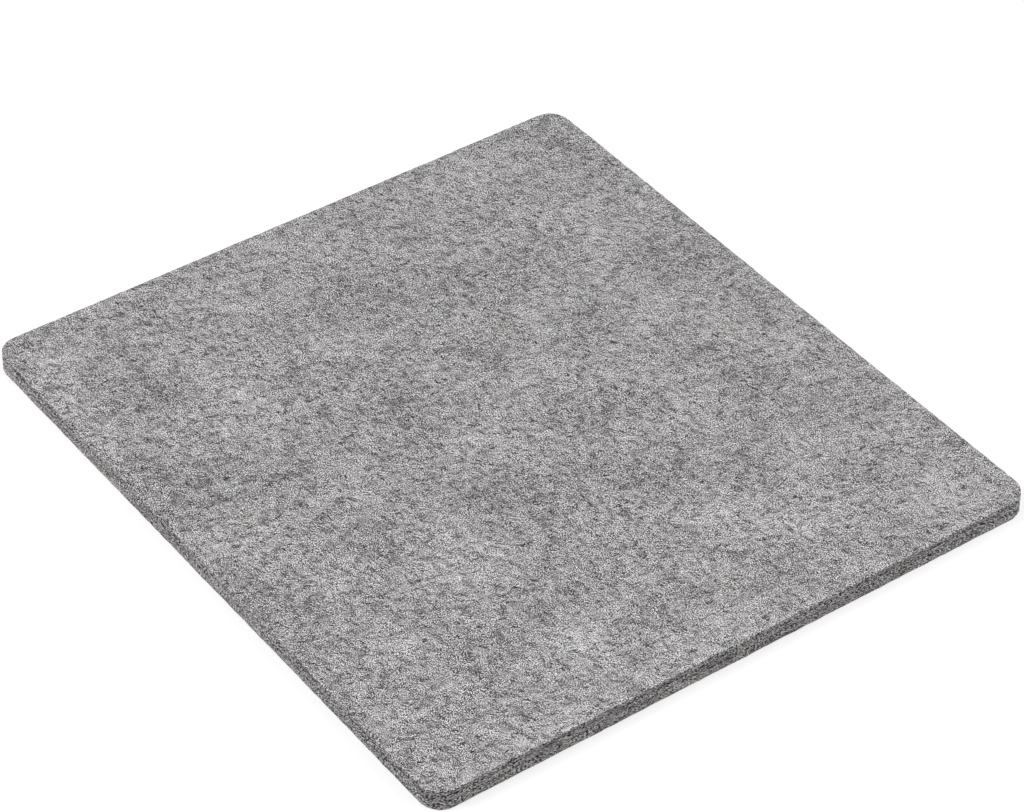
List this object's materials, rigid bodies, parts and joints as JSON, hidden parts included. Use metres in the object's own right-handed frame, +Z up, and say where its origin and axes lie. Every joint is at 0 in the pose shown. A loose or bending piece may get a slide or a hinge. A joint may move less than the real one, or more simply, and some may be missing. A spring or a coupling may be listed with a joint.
{
  "type": "ironing pad",
  "caption": "Flat grey felt ironing pad, a near-square slab with rounded corners, laminated from bonded felt plies; lies on a table as a heat-proof pressing surface.",
  "frame": {"origin": "middle of the underside, on the surface that the pad lies on", "axes": "+Z up through the pad to the pressing face, +X along the shorter side, +Y along the longer side"},
  "size_m": [0.381, 0.423, 0.0127],
  "materials": {
    "top_felt": "matte",
    "middle_felt": "matte",
    "base_felt": "matte",
    "bonding_web": "matte"
  },
  "bodies": {
    "root": {"top_felt_ply": "top_felt", "upper_bonding_web": "bonding_web", "middle_felt_ply": "middle_felt", "lower_bonding_web": "bonding_web", "base_felt_ply": "base_felt"}
  },
  "joints": []
}
